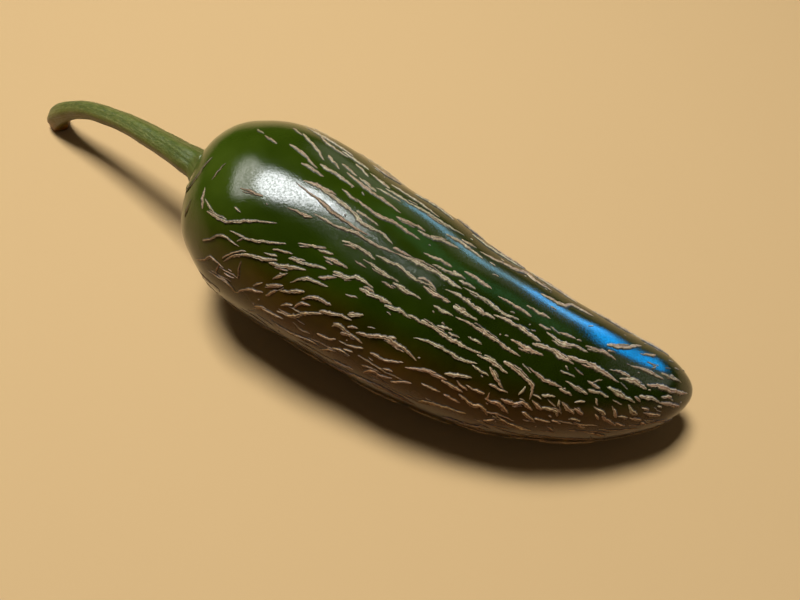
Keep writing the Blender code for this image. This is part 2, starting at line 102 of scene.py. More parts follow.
# Corky streaks. Each row is the width that a streak may take, in mm, then the places that it runs through:
# percent of the pod's length, degrees round from the top toward -Y
STREAKS = (
    (0.8, 16.5, -39, 19.5, -30, 23.7, -29.5), (0.8, 22.5, -32, 27.8, -31), (0.8, 29, -28, 33, -25.5),
    (0.9, 15.5, -26, 18.8, -20, 21.5, -15), (0.8, 21.7, -19.6, 24.5, -15.3), (0.8, 28.4, -18, 31.8, -16),
    (0.8, 26.3, -16, 30, -14, 37.4, -13.3), (0.9, 22, -10.5, 28.5, -10),
    (1.1, 15.5, -12, 18.7, -10, 21.7, -7), (0.9, 19.5, -4.5, 23.5, -4.5),
    (0.9, 30.7, -4, 34, -3, 38, -5.3, 42.6, -6), (1.1, 21.8, 4, 24, 2.5, 27.2, 0.8),
    (1.1, 25.5, 3, 30, 3, 33, 5, 35.2, 5.4, 37.4, 4, 39.5, 5.5),
    (0.9, 21, 7.5, 25, 8.5, 29, 10, 33, 10, 35.5, 9.3),
    (0.9, 26.7, 16, 30.3, 15, 33.5, 12.5, 38.5, 11, 41.3, 9), (0.8, 22.4, 21, 26.3, 18.5),
    (0.9, 33, 19.5, 35.2, 17.8, 38.6, 18.4), (0.8, 13.4, 25.5, 17.3, 23), (0.8, 27.1, 33.5, 31, 28),
    (0.9, 31.8, 32, 35.7, 30.5), (0.9, 34.5, 36, 37, 34.3, 38.1, 32, 40.8, 31.9),
    (1.0, 6.3, 37.5, 7.8, 48.5), (1.1, 9.4, 48, 11.5, 46.7, 14.3, 45, 17, 39, 19.5, 35, 21.8, 31.2),
    (0.8, 15.5, 48.5, 19.9, 46, 21.7, 43, 24.9, 38),
    (1.1, 16.2, 68, 18, 59.5, 20.2, 55, 22.4, 53, 24.9, 48.5),
    (0.8, 10.8, 65, 12.6, 59, 14.4, 53.5, 17.7, 53.7), (1.0, 24.2, 52, 27.1, 48.5, 30, 44),
    (0.8, 26.9, 43.5, 30, 40.5, 32.8, 37.4), (0.8, 29, 54.5, 30.7, 48.5, 34.5, 45),
    (0.9, 32.1, 59, 33.6, 54.7, 36.4, 52.9), (0.9, 25.3, 66.5, 27.8, 59.7), (1.0, 28.1, 62.7, 31.6, 55.3),
    (0.9, 28.9, 76.3, 31.8, 72.6, 33.9, 65, 36.1, 60), (1.0, 10, 84.4, 12, 77.6, 13.7, 71.4, 16.2, 72.6),
    (1.0, 20.2, 84.4, 22.4, 75.7, 24.9, 71.4), (0.9, 13.4, 84.4, 15.2, 83, 18, 82.5, 19.7, 85),
    (0.9, 24.2, 87.5, 26, 82.5, 30, 79.5), (0.8, 28, 87, 31, 88, 35.7, 84.5, 37.4, 84.4),
    (0.9, 37.7, -9.5, 41, -12.2, 42.5, -13), (0.9, 41.9, -10.6, 44.2, -12, 46.4, -15.3, 48.9, -17),
    (0.8, 37.7, -24, 40.6, -26.5, 44, -27.7, 48.2, -32), (0.8, 46, -21.5, 49.7, -23, 53.3, -21),
    (0.9, 52.7, -26.5, 56.5, -27.7, 59.8, -30, 62, -34, 64.5, -31, 67.7, -31.4), (0.7, 33, -31, 42.8, -31),
    (1.0, 41.3, 8.8, 43.9, 7.5, 47.5, 6.3, 52.7, 7.2), (0.8, 44.9, -0.5, 47.5, -1.7, 49.6, -2),
    (0.8, 47.1, 3, 48.9, 2, 51.1, 1.7), (0.9, 52.2, -3.6, 54.7, -3.2, 57, -2.3),
    (1.0, 53.3, 6, 56.1, 5.7, 60.5, 8.2, 63.2, 7.5), (0.8, 59, 0.1, 61.9, 0.1, 65, 1.7),
    (1.0, 51, 12.2, 53.3, 11.2, 55.4, 12.9, 59.6, 13.7),
    (1.0, 59.6, 11.9, 61.9, 10.9, 64.8, 12.5, 67.7, 14.6),
    (1.0, 38.8, 16, 42.4, 14.6, 45.3, 15.6, 47.5, 15.3), (1.0, 47.8, 16.8, 49.6, 17.8, 52.2, 17.4),
    (0.9, 53.4, 18.4, 57.2, 19.3), (0.9, 37.5, 21.8, 40.2, 22.1, 43.7, 22), (0.9, 43.5, 24, 48, 24),
    (1.0, 54.5, 23.2, 57.9, 23.2, 60.5, 24.8, 65.5, 28.5), (1.0, 63.7, 21.1, 66.2, 22.4, 68.8, 23),
    (0.8, 64.1, -4, 68.2, -3.2), (1.1, 39.5, 36, 42, 35.5, 44.6, 34.7),
    (1.0, 44.2, 36.8, 46.7, 35.5, 48.2, 36), (1.0, 50.2, 34, 53.2, 35, 56.9, 36.4, 60, 36.2),
    (0.9, 60, 37.7, 62.6, 38.7, 64.8, 41.4), (0.9, 50.5, 44.8, 53.2, 42.6, 57.6, 44.2, 60.1, 43),
    (0.8, 62.4, 42.4, 63.7, 47.3, 65.2, 52), (1.0, 64, 35.6, 66.2, 38, 67.8, 41, 69.3, 46, 69.6, 54),
    (1.0, 35.6, 59.7, 37.7, 56.6, 40.4, 54.5),
    (1.1, 42.4, 59.7, 44.6, 56.6, 46.4, 53.5, 48.9, 53.5, 50.7, 54.7, 52, 56.6),
    (1.0, 51.4, 64, 53.2, 61.5, 54.7, 60.3, 57.2, 60.3), (0.9, 57, 62, 60.1, 64.6),
    (0.8, 45.8, 67, 47.8, 66.5, 50.4, 62.4), (0.9, 57, 56.6, 58.3, 54.7, 60.3, 52.9),
    (1.0, 63.9, 59, 64.2, 64, 66.2, 65.2, 67.5, 69.5), (0.9, 60.2, 67.7, 62.6, 72, 63.5, 70.2, 65, 76.4),
    (0.8, 37.9, 87.5, 39.1, 83.1, 40.4, 80.9), (1.0, 46, 84.4, 46.9, 80, 48.9, 78.8, 50, 77),
    (0.9, 50.4, 79.4, 51.8, 75.7, 52.9, 73.9), (1.0, 55.4, 87.5, 56.5, 84.4, 59, 83, 62, 82),
    (0.9, 66, 73.3, 67.8, 78.2, 69.3, 80.7, 71.8, 83), (0.9, 40.2, 99, 45.3, 93, 49.3, 90.6, 54, 93),
    (0.9, 66, -19.7, 70.5, -21, 72.5, -27, 76.8, -27),
    (1.1, 79.7, -2, 81.9, -4.2, 83.7, -8, 85.2, -12.8, 87, -19), (1.0, 75.8, 6.3, 78.7, 5.7, 81.2, 8.4),
    (0.9, 68.7, 7.5, 71.1, 10.6, 73.3, 9.4, 75.8, 10.3), (1.1, 67.1, 18, 69.3, 17.4, 71.4, 19.3, 74, 21.8),
    (1.2, 73.1, 17.8, 77.9, 19.3, 80.1, 23, 82.3, 26.7), (1.2, 82.8, 23.6, 85.5, 24.2, 87.7, 29.2),
    (1.2, 88.1, 24.8, 91.3, 25.5, 93.5, 29.2, 97, 32.3), (1.0, 84.6, 9.4, 87, 10, 89.1, 11.9, 90.9, 15.6),
    (0.9, 90.9, 8.8, 92.7, 10.6, 94.9, 13.7), (1.0, 67.7, 33.7, 70, 37.4, 73.3, 40.5),
    (1.0, 74, 35.6, 75.8, 38, 77.6, 41.7), (1.2, 81, 33.7, 83, 36.8, 84.8, 41, 86.1, 44.8),
    (1.2, 87, 37.7, 89.1, 40, 90.6, 43.6), (1.2, 90.9, 45.5, 93.1, 48.5, 94.9, 54, 95.5, 58),
    (1.0, 74.5, 52, 75.8, 56.6, 76.7, 59.7), (1.0, 79.7, 52.2, 80.8, 56, 81.7, 59),
    (0.9, 82.5, 50.4, 83, 54.7, 83.9, 62), (1.0, 85.3, 48.5, 85.9, 53.5, 87.3, 59.7),
    (1.0, 88.6, 58.4, 90, 61, 91.7, 64), (1.0, 70.2, 55.3, 71.8, 60.3),
    (1.0, 66, 60.3, 67.8, 61, 68.9, 59, 70.5, 62.4), (1.0, 81.6, 61.5, 83, 67, 84.3, 72.6),
    (0.8, 80.5, 82, 82.6, 85.6, 83.7, 89))

# Finer ones between them, written alike
FINE_STREAKS = (
    (0.7, 26, -27.7, 28.9, -24), (0.6, 13.3, -28, 15.2, -25), (0.6, 24.5, -20, 27.5, -18.5),
    (0.6, 31.8, -19, 36, -20.5), (0.7, 10.8, -11, 13.3, -8.5), (0.5, 8.7, -15, 9.9, -13),
    (0.6, 27.8, -4, 30.7, -3), (0.7, 32, 1.5, 35.8, 1.6), (0.6, 30.5, 30.5, 32.5, 28.5),
    (0.5, 14.3, 36, 15.3, 36.3), (0.5, 4.2, 16, 3, 35, 2.2, 46, 0.9, 58), (0.5, 7.7, 17, 6.9, 29),
    (0.5, 4.2, 52, 4, 67), (0.6, 7.8, 43, 10.5, 45.5), (0.7, 23.8, 44, 26.7, 40.5),
    (0.6, 22.7, 48.5, 24.5, 46.5), (0.7, 32.8, 43, 35, 38.5), (0.6, 26, 59, 27.6, 52),
    (0.6, 23.1, 70.8, 24.2, 66), (0.7, 26, 70.8, 27.3, 64.6), (0.6, 19.3, 62, 19.7, 72.6),
    (0.6, 29.2, 70.8, 30.7, 66.5), (0.6, 31.4, 66.5, 32.1, 62, 33.4, 60.3), (0.6, 15.3, 72.6, 15.2, 79),
    (0.6, 17, 76, 18.8, 75), (0.7, 48.7, -26.5, 51.4, -27.7), (0.7, 33, -23.4, 37.7, -24),
    (0.7, 40.4, 7.2, 43.1, 6), (0.7, 50.6, -0.2, 52.5, 0.7), (0.7, 52.2, 3.2, 54.7, 3.2),
    (0.7, 46.4, 14.3, 47.5, 13.1, 49.3, 15), (0.7, 50.7, 23.4, 53.6, 23.5), (0.5, 41.9, 26.7, 43.5, 26.5),
    (0.5, 36.5, 24.8, 38.1, 24.8), (0.5, 67.1, 4.4, 68.8, 4.7), (0.6, 57.6, 30.2, 59.4, 31),
    (0.5, 52.7, 32, 54.5, 31), (0.5, 54.7, 33, 56, 33), (0.6, 48, 35, 50.4, 35), (0.7, 60, 45, 62.4, 47.3),
    (0.6, 68.2, 47.3, 67.9, 52.9), (0.7, 63.5, 53, 66, 54), (0.8, 39.9, 52.2, 41.7, 48.5),
    (0.8, 38.5, 64, 39, 62, 41.3, 62.4), (0.8, 40.2, 65.2, 41.7, 63, 43.5, 64),
    (0.6, 40.8, 59, 41.9, 57.4), (0.6, 46.4, 52.9, 47.8, 51), (0.6, 59, 58.7, 60.6, 62),
    (0.8, 60.5, 59, 63, 60.3), (0.6, 54.7, 70.2, 57.2, 70.8), (0.7, 58.3, 72, 60.5, 73.9),
    (0.7, 42, 70.8, 44, 67.3), (0.7, 36.8, 75.1, 38.4, 74.5, 39.5, 71.8), (0.5, 41.7, 74.7, 42.8, 73.9),
    (0.8, 39.9, 79.4, 40.6, 77.6, 42.6, 77.6), (0.5, 48.6, 72.6, 49.6, 71.8), (0.6, 65.2, 83, 66.2, 79.4),
    (0.8, 59.7, 95, 64.1, 94.3, 65.2, 91), (0.8, 40.6, 90.6, 43.9, 88),
    (0.8, 86.6, -7.3, 88.4, -9.8, 89.8, -14), (0.5, 80, 3, 81, 2.6), (0.7, 70.7, 3.8, 73.3, 3.8),
    (0.8, 80.8, 18.3, 83, 17.8, 84.3, 20.5), (0.7, 77.4, 31.6, 79.4, 35.4), (0.5, 72.7, 29, 74.7, 30.4),
    (0.7, 73.4, 41.7, 75.2, 44.8), (0.7, 77.9, 38, 79.4, 39.6), (0.7, 79.4, 38.7, 81.2, 41.4),
    (0.8, 86.1, 39.3, 87.1, 43.6), (0.9, 91.3, 37.4, 93, 38), (0.5, 70, 51, 71, 52),
    (0.6, 71.3, 49, 72.8, 48.5), (0.6, 73.8, 51, 74, 54.7), (0.6, 76.5, 49.8, 77.6, 48.5),
    (0.8, 76.7, 55.3, 78.1, 59.7), (0.7, 79.4, 44.8, 80, 49.8), (0.8, 88, 51.6, 89.1, 54.7),
    (0.7, 90.9, 50, 91.5, 52), (0.9, 72, 59, 73.8, 59.7, 74.5, 63.4), (0.8, 69.6, 66.5, 71.4, 70.8),
    (0.7, 71.8, 69.5, 73.8, 70.8), (0.6, 74.3, 69, 75.4, 70.8), (0.7, 76.9, 65.2, 78.1, 66.8),
    (0.8, 77.6, 69, 79.4, 74.5), (0.6, 80.3, 59.7, 81, 64.6), (0.8, 84.3, 69.5, 85.9, 73.9),
    (0.7, 84.3, 61.5, 85.7, 62.7), (0.8, 86.4, 64, 88.4, 68.3), (0.8, 88.8, 72, 89.7, 76.4),
    (0.6, 74.2, 77, 75, 80))

DEGREE = 0.27 * MM             # about the width of one degree on the skin
DEGREES_ON = 1.5               # every streak of the rows above lies this much further round
COURSE_SPAN = (0.004, 0.99)    # the shares of the length between which a streak can run
STREAK_HEIGHT = 0.30 * MM
STREAK_ROOT = 0.35 * MM
STREAK_STEP = 0.21 * MM        # between a streak's cross-sections
HIDDEN_STEP = 1.4 * STREAK_STEP
STREAK_CLEARANCE = 1.0 * MM    # above the surface that the pod rests on
STREAK_MARGIN = 0.10 * MM      # the dark line along each side, partly a dark cracked edge and partly painted shadow
STREAK_LONGER = 0.30 * MM      # each end runs this much past its row's places
LIP_SHARES = (0.50, 0.68)      # how much of its row's width a streak's lip takes
BOLD_FROM = 0.8                # rows at least this wide make bold streaks
COMPANIONS = 0.5               # the share of bold streaks that have a thin lip beside them

# How tall each kind of lip is, as a share of STREAK_HEIGHT, and how deeply it is split
BOLD = (1.0, 1.0)
FINE = (0.8, 0.5)
COMPANION = (0.6, 0.0)
FLECK = (0.35, 0.0)

# How wide the streaks are, by percent of the length, and how dull, by share of it
SHOULDER_WIDTHS = ((0, 0.65), (16, 0.75), (26, 1.0), (100, 1.0))
CORK_FRONT = ((0.0, 1.0), (0.15, 0.66), (0.46, 0.62), (0.62, 0.0), (1.0, 0.0))

# Streaks that the rows leave out, in lanes between two places round. Lengths and gaps are in percent
HIDDEN_LANES = 13
HIDDEN_FROM = 118.0
HIDDEN_TO = 322.0
HIDDEN_STARTS = (8, 15)
HIDDEN_LENGTHS = (5, 13)
HIDDEN_GAPS = (1.5, 5)
HIDDEN_WIDTHS = (0.8, 1.1)
HIDDEN_LAST_START = 90
HIDDEN_LAST_END = 95

# Flecks, and hairlines low on the flank. Widths and the flecks' lengths are in mm, other lengths in percent
FLECKS = 300
FLECK_WIDTHS = (0.10, 0.20)
FLECK_LENGTHS = (0.3, 0.45, 0.6, 0.9, 1.3, 2.0)
FLECK_SPAN = (0.06, 0.97)      # in share of the length
FLECK_ROUND = (-60, 300)
FLECK_CHANCE = 0.25            # at the shoulder, and more toward the tip
BARE_SHARE = 0.26              # the shoulder's top is nearly bare of flecks up to here
BARE_ROUND = (-60, 40)
BARE_LOSS = 0.92
FAN_MIDDLE = 10                # the flecks fan out on both sides of this line
FAN_WIDTH = 35
FAN_END = 130                  # as far round as this
FLOW_TURN = 700
FLANK_LINES = 60
FLANK_LINE_WIDTHS = (0.16, 0.30)
FLANK_LINE_LENGTHS = (2.0, 8.0)
FLANK_LINE_SPAN = (8, 90)
FLANK_LINE_ROUND = (70, 112)

SEED = 31

# Stem, as in the CAD model
STEM_ROUTE = [(x * MM, y * MM, z * MM) for x, y, z in (
    (3.1, 0.0, 22.3), (-2.9, 2.2, 22.0), (-5.8, 3.2, 21.5), (-9.9, 4.9, 20.5), (-15.8, 7.1, 19.1),
    (-21.7, 9.2, 17.6), (-27.9, 11.1, 15.6), (-34.3, 12.9, 13.1), (-39.4, 14.0, 10.2), (-43.0, 14.7, 7.5),
    (-45.5, 15.4, 4.9), (-47.2, 16.1, 2.4), (-48.0, 16.9, 0.0))]
STEM_RADII = [(d * MM, r * MM) for d, r in (
    (0.0, 2.75), (5.0, 2.75), (9.5, 2.68), (14.0, 2.42), (20.5, 2.14), (27.0, 1.95), (41.0, 1.74),
    (47.0, 1.86), (52.0, 2.02), (58.0, 2.12))]
STEM_START = 4.9 * MM
STEM_FLARE = 0.4 * MM
STEM_FLARE_REACH = 0.9 * MM
STEM_RIBS = 5
STEM_RIB_HEIGHT = 0.05               # this and the next two in shares of the radius
STEM_GRAIN_HEIGHT = 0.006
STEM_KNOBS = ((0.02, 0.35, 0.0), (0.012, 0.9, 1.0))      # waves along it: height, radians per mm, phase
STEM_GRAIN = (7, 11, 16, 23, 31)     # fine waves, by how many there are round the stalk
STEM_RINGS = 260
STEM_SECTORS = 96
CUT_HOLLOW = ((0.93, 0.05), (0.7, 0.28), (0.35, 0.35))   # rings of the cut face: share of radius, mm deep
CUT_MIDDLE = 0.3 * MM
CUT_BROWN_AND_BOUNCE_REACH = 6.5 * MM               # how far the cut's brown, partly its own and partly a painted warm bounce, reaches up the stalk
CUT_BROWN_AND_BOUNCE_BLEND = 6.0 * MM
CALYX_GAP = 0.4 * MM
CALYX_RADIUS = 4.9 * MM
CALYX_TEETH = 5
CALYX_TOOTH = 0.7 * MM
CALYX_THICKNESS = 0.9 * MM
CALYX_EDGE = 0.45 * MM
CALYX_LIFT = 1.1 * CALYX_GAP         # from the dimple to the cap's underside
CALYX_UNDER = (0.3, 0.6, 0.85, 0.97)       # the rings of the cap, as shares of its edge's radius
CALYX_BEVEL = 0.985
CALYX_OVER = (0.95, 0.90, 0.85, 0.80)

# Camera
CAMERA_LENS = 38.25            # mm
CAMERA_SENSOR = 36.0           # mm
CAMERA_CLIP = (0.005, 20.0)    # metres
CAMERA_DISTANCE = 151.3 * MM
CAMERA_AZIMUTH = math.radians(17.0)
CAMERA_ELEVATION = math.radians(57.0)
CAMERA_ROLL = math.radians(5.0)
CAMERA_AIM = Vector((39.5, -4.25, 11.8)) * MM + Vector(LAYOUT_TO_FRAME)

# Studio
CEILING = 0.60                 # height of the key light and of the panels that the pod's top mirrors
FLOOR_HALF = 1.6
COOL_WHITE = (0.95, 0.98, 1.0)
ROOM_COLOUR = (0.60, 0.48, 0.34, 1.0)
ROOM_STRENGTH = 0.15


# ---------------------------------------------------------------- curves
def smooth_curve(points, before, after, samples=900):
    """A smooth curve through the points (centripetal Catmull-Rom); before and after steer its ends."""
    knots = np.array([before, *points, after], float)
    times = np.concatenate(([0.0], np.cumsum(np.sqrt(np.linalg.norm(np.diff(knots, axis=0), axis=1)))))
    slopes = (knots[2:] - knots[:-2]) / (times[2:] - times[:-2])[:, None]
    at = np.linspace(times[1], times[-2], samples)
    span = np.clip(np.searchsorted(times, at, side="right") - 1, 1, len(knots) - 3)
    width = (times[span + 1] - times[span])[:, None]
    f = (at - times[span])[:, None] / width
    return (knots[span] * (2 * f**3 - 3 * f**2 + 1) + slopes[span - 1] * width * (f**3 - 2 * f**2 + f)
            + knots[span + 1] * (3 * f**2 - 2 * f**3) + slopes[span] * width * (f**3 - f**2))


def distances(curve):
    """Length along a curve at each of its points."""
    return np.concatenate(([0.0], np.cumsum(np.linalg.norm(np.diff(curve, axis=0), axis=1))))


def read_curve(curve, at):
    """Points of a curve at the given lengths along it."""
    along = distances(curve)
    return np.stack([np.interp(at, along, column) for column in curve.T], axis=-1)


def read_table(at, table):
    """Values at some places, between the rows of a table of places and values."""
    return np.interp(at, *zip(*table))


OUTLINE = smooth_curve(POD_OUTLINE, (POD_OUTLINE[1][0], -POD_OUTLINE[1][1]),
                       (POD_OUTLINE[-2][0], -POD_OUTLINE[-2][1]))
RIM = int(np.argmin(OUTLINE[:, 0]))


def unit(vectors):
    """Vectors at length one."""
    return vectors / np.maximum(np.linalg.norm(vectors, axis=-1, keepdims=True), 1e-12)


def middle_line(distance):
    """Points and directions of the pod's middle line at an array of distances."""
    share = np.clip(distance / POD_LENGTH, 1e-6, 1.0)
    swing = math.pi * share**BEND_POWER
    slope = -POD_BEND * np.cos(swing) * math.pi * BEND_POWER * share**(BEND_POWER - 1) / POD_LENGTH
    fall = (TIP_HEIGHT - SHOULDER_HEIGHT) / POD_LENGTH
    points = np.stack((distance, -POD_BEND * np.sin(swing), SHOULDER_HEIGHT + fall * distance), axis=-1)
    return points, unit(np.stack((np.ones_like(slope), slope, np.full_like(slope, fall)), axis=-1))


# The waves that make the skin's lumps: a phase, how often it goes round and how far it winds along the pod
LUMPS = [(random.Random(SEED + 7 * i).uniform(0, 2 * math.pi), 2 + i % 4, 9 + 6 * i)
         for i in range(LUMP_WAVES)]


def swelling(distance, radius, angle):
    """How far the skin stands off the turned form: faint lobes and lumps."""
    fade = np.minimum(radius / (10 * MM), 1.0)
    lumps = sum(np.sin(turns * angle + phase + winding * distance / POD_LENGTH)
                for phase, turns, winding in LUMPS)
    return fade * (LOBE_HEIGHT * np.cos(LOBES * angle + LOBE_PHASE) + LUMP_HEIGHT * lumps)


def pod_points(distance, radius, angle):
    """Points round the middle line; angles run from the top toward -Y."""
    distance, radius, angle = np.broadcast_arrays(distance, radius, angle)
    centre, ahead = middle_line(distance)
    side = unit(np.cross((0.0, 0.0, 1.0), ahead))
    upward = np.cross(ahead, side)
    out = np.cos(angle)[..., None] * upward - np.sin(angle)[..., None] * side
    points = centre + (radius + swelling(distance, radius, angle))[..., None] * out
    points[..., 2] -= BELLY_DROP
    return points


def pod_radius(distance):
    """The pod's radius outside the rim."""
    return np.interp(distance, OUTLINE[RIM:, 0], OUTLINE[RIM:, 1])


# ---------------------------------------------------------------- meshes
def mesh_object(name, points, faces, attributes):
    """A smooth mesh object that faces outward, with a float attribute for each named array."""
    mesh = bpy.data.meshes.new(name)
    mesh.from_pydata((np.asarray(points) + LAYOUT_TO_FRAME).tolist(), [], faces)
    mesh.validate()
    for title, values in attributes.items():
        layer = mesh.attributes.new(title, "FLOAT", "POINT")
        layer.data.foreach_set("value", np.asarray(values, np.float32))
    mesh.shade_smooth()
    thing = bpy.data.objects.new(name, mesh)
    bpy.context.scene.collection.objects.link(thing)
    outward(thing)
    return thing


def tube_faces(rings, count, first):
    """Faces of a closed loft: rings of count points from index first, then its two end points."""
    faces = []
    for i in range(rings - 1):
        for j in range(count):
            k = (j + 1) % count
            a = first + i * count
            faces.append((a + j, a + count + j, a + count + k, a + k))
    start = first + rings * count
    last = first + (rings - 1) * count
    for j in range(count):
        k = (j + 1) % count
        faces.append((start, first + j, first + k))
        faces.append((start + 1, last + k, last + j))
    return faces


def outward(thing):
    """Turn the faces outward."""
    shape = bmesh.new()
    shape.from_mesh(thing.data)
    bmesh.ops.recalc_face_normals(shape, faces=shape.faces)
    shape.to_mesh(thing.data)
    shape.free()


def make_skin():
    """The pod's skin, a fine closed mesh, flat under the belly."""
    along = distances(OUTLINE)
    steps = np.diff(OUTLINE, axis=0)
    heading = np.unwrap(np.arctan2(steps[:, 1], steps[:, 0]))
    turning = np.concatenate(([0.0], np.cumsum(np.abs(np.diff(heading)))))
    effort = along[1:] / along[-1] + TURN_WEIGHT * turning / turning[-1]
    places = np.interp(np.linspace(effort[0], effort[-1], SKIN_RINGS + 2)[1:-1], effort, along[1:])
    outline = read_curve(OUTLINE, places)
    angles = np.linspace(0, 2 * math.pi, SKIN_SECTORS, endpoint=False)
    rings = pod_points(outline[:, :1], outline[:, 1:], angles[None, :])
    ends = pod_points(OUTLINE[[0, -1], 0], np.zeros(2), np.zeros(2))
    points = np.concatenate((rings.reshape(-1, 3), ends))
    points[:, 2] = np.maximum(points[:, 2], 0.0)
    shares = outline[:, 0] / POD_LENGTH
    # The flank's brown: partly the skin's own, partly a painted warm reflection
    flank = read_table(shares, FLANK_REACH)[:, None] * read_table(np.degrees(angles), FLANK_BROWN_AND_PAINTED_LIGHT)[None, :]
    fresh_and_lit = np.repeat(read_table(shares, SHOULDER_FRESH_AND_LIT), SKIN_SECTORS)
    deep = np.repeat(read_table(shares, TIP_DEEP), SKIN_SECTORS)
    values = {"flank_brown_and_painted_light": np.append(flank.reshape(-1), (0.0, 0.6)), "fresh_and_lit": np.append(fresh_and_lit, (1.0, 0.0)),
              "deep": np.append(deep, (0.0, 1.0))}
    return mesh_object("pod_skin", points, tube_faces(SKIN_RINGS, SKIN_SECTORS, 0), values)


# ---------------------------------------------------------------- corky streaks
def course_of(places, turned=0.0, longer=0.0):
    """The smooth course through a streak's places, measured out on the skin; longer extends its ends."""
    knots = (np.array(places, float).reshape(-1, 2) + (0.0, turned)) * (0.01 * POD_LENGTH, DEGREE)
    knots[0] += longer * unit(knots[0] - knots[1])
    knots[-1] += longer * unit(knots[-1] - knots[-2])
    return smooth_curve(knots, 2 * knots[0] - knots[1], 2 * knots[-1] - knots[-2], samples=120)


def on_skin(course, lift=0.0):
    """Points of the skin along a course, lifted off it."""
    distance = np.clip(course[:, 0] / POD_LENGTH, *COURSE_SPAN) * POD_LENGTH
    return pod_points(distance, pod_radius(distance) + lift, np.radians(course[:, 1] / DEGREE))


def hidden_streaks(draws):
    """Streaks in lanes under the belly and on the far side, clear of where the pod rests."""
    lane_gap = (HIDDEN_TO - HIDDEN_FROM) / (HIDDEN_LANES - 1)
    for lane in range(HIDDEN_LANES):
        percent = draws.uniform(*HIDDEN_STARTS)
        while percent < HIDDEN_LAST_START:
            following = min(percent + draws.uniform(*HIDDEN_LENGTHS), HIDDEN_LAST_END)
            degrees = HIDDEN_FROM + (lane + draws.uniform(-0.28, 0.28)) * lane_gap
            turned = degrees + draws.uniform(-5, 5)
            middle = 0.5 * (degrees + turned) + draws.uniform(-2, 2)
            row = (draws.uniform(*HIDDEN_WIDTHS), percent, degrees, 0.5 * (percent + following), middle,
                   following, turned)
            if is_clear(row[1:]):
                yield row
            percent = following + draws.uniform(*HIDDEN_GAPS)


def is_clear(places):
    """Whether a streak stays above the surface that the pod rests on."""
    return on_skin(course_of(places)[::10])[:, 2].min() > STREAK_CLEARANCE


def flow(share, degrees):
    """How many degrees the flecks turn for each share of the length that they run."""
    if degrees < FAN_END:
        fan = min(max((degrees - FAN_MIDDLE) / FAN_WIDTH, -0.8), 2.0)
    else:
        fan = 0.4 * math.sin(math.radians(degrees - FAN_END) * 3)
    return FLOW_TURN * (share - 0.5) * fan


def flecks(draws, count):
    """Short thin flecks between the streaks, leaning with the flow."""
    made = 0
    while made < count:
        share = draws.uniform(*FLECK_SPAN)
        degrees = draws.uniform(*FLECK_ROUND)
        bare = share < BARE_SHARE and BARE_ROUND[0] < degrees < BARE_ROUND[1]
        if (bare and draws.random() < BARE_LOSS) or draws.random() > FLECK_CHANCE + share:
            continue
        length = draws.choice(FLECK_LENGTHS) * MM
        radius = float(pod_radius(share * POD_LENGTH))
        lean = math.atan(flow(share, degrees) * math.radians(1) * radius / POD_LENGTH)
        lean += draws.gauss(0.0, 0.3)
        reach = 50 * length * math.cos(lean) / POD_LENGTH
        turn = 0.5 * length * math.sin(lean) / max(radius, 2 * MM) / math.radians(1)
        row = (draws.uniform(*FLECK_WIDTHS), 100 * share - reach, degrees - turn, 100 * share + reach,
               degrees + turn)
        if is_clear(row[1:]):
            made += 1
            yield row


def flank_lines(draws, count):
    """Hairlines along the lower flank, nearly parallel to the pod's length."""
    made = 0
    while made < count:
        percent = draws.uniform(*FLANK_LINE_SPAN)
        degrees = draws.uniform(*FLANK_LINE_ROUND)
        length = draws.uniform(*FLANK_LINE_LENGTHS)
        lean = draws.gauss(0.0, 0.35) + (0.5 if percent > 50 else -0.2)
        middle = degrees + length * lean * 0.5 + draws.gauss(0.0, 0.7)
        row = (draws.uniform(*FLANK_LINE_WIDTHS), percent, degrees, percent + 0.5 * length, middle,
               percent + length, degrees + length * lean)
        if is_clear(row[1:]):
            made += 1
            yield row


def wave(draws, places, lengths, amounts):
    """A wandering value along a line: sines of the given wavelengths, in mm, and amounts."""
    value = np.zeros_like(places)
    for length, amount in zip(lengths, amounts):
        value += amount * np.sin(2 * math.pi * places / (length * MM) * draws.uniform(0.8, 1.25)
                                 + draws.uniform(0, 2 * math.pi))
    return value


# Across a streak: where its points lie, as shares of half its width, and how much light rim they carry
PROFILE = np.array((-1.5, -1.35, -1.0, -0.84, -0.62, -0.38, -0.16, 0.16, 0.38, 0.62, 0.84, 1.0, 1.35, 1.5))
PROFILE_RIM = np.array((0, 0, 0, 0.8, 1.0, 0.25, 0, 0, 0.25, 1.0, 0.8, 0, 0, 0))
RING = len(PROFILE) + 1        # with the root
FISSURE_DEPTH = 0.75           # how much of a lip's height a fissure takes
MARGIN_HEIGHT = 0.014 * MM     # of the dark line beside a lip, partly painted shadow
MARGIN_SUNK = -0.03 * MM       # and of its outer edge, in the skin
TIP_SUNK = 0.05 * MM


def stations(course, step):
    """Even places on a course: the course, its points on the skin, the ways across and out, its length."""
    reach = float(distances(on_skin(course))[-1])
    course = read_curve(course, np.linspace(0, distances(course)[-1], max(6, int(reach / step))))
    line = on_skin(course)
    ahead = unit(np.gradient(line, axis=0))
    across = unit(np.cross(unit(on_skin(course, MM) - line), ahead))
    return course, line, across, np.cross(ahead, across), reach


